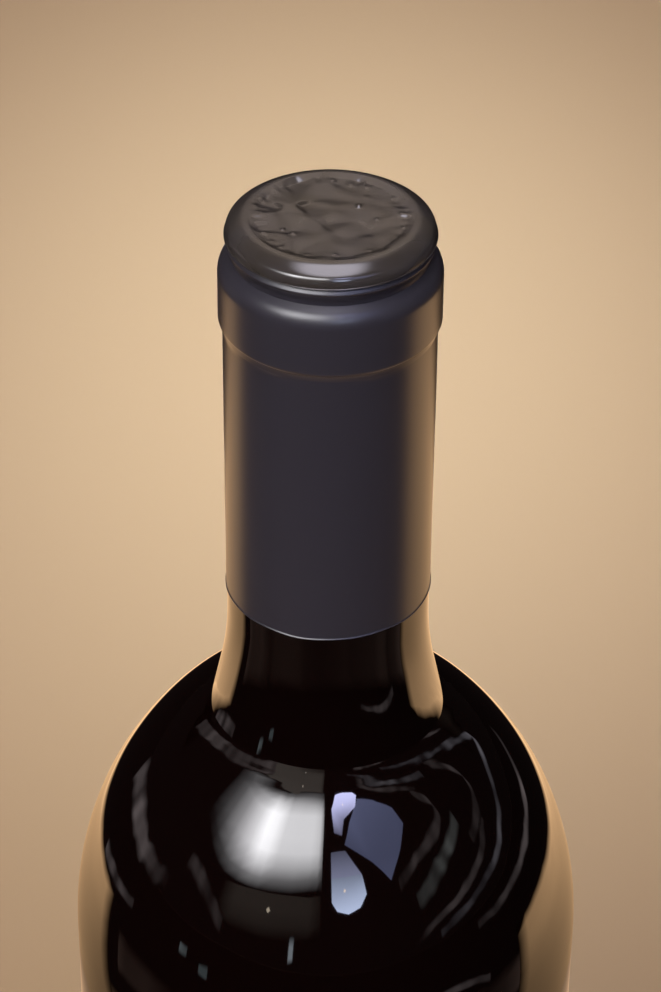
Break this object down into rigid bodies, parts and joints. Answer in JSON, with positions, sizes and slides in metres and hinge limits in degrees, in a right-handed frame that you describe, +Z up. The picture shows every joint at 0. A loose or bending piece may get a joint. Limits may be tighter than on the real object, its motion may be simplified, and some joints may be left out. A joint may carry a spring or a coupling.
{
  "type": "wine bottle",
  "caption": "Sealed dark glass wine bottle with high shoulders, a punted base and a shrink capsule over the neck.",
  "frame": {"origin": "middle of the base, on the surface that the bottle stands on", "axes": "+Z up along the bottle's axis; the picture was taken from the -Y side"},
  "size_m": [0.0746, 0.0746, 0.3],
  "materials": {
    "dark_glass": "polished, near-black",
    "capsule_foil": "satin charcoal",
    "capsule_film": "glossy crumpled film"
  },
  "bodies": {
    "root": {"bottle": "dark_glass", "capsule_sleeve": "capsule_foil", "capsule_disc": "capsule_film"}
  },
  "joints": []
}
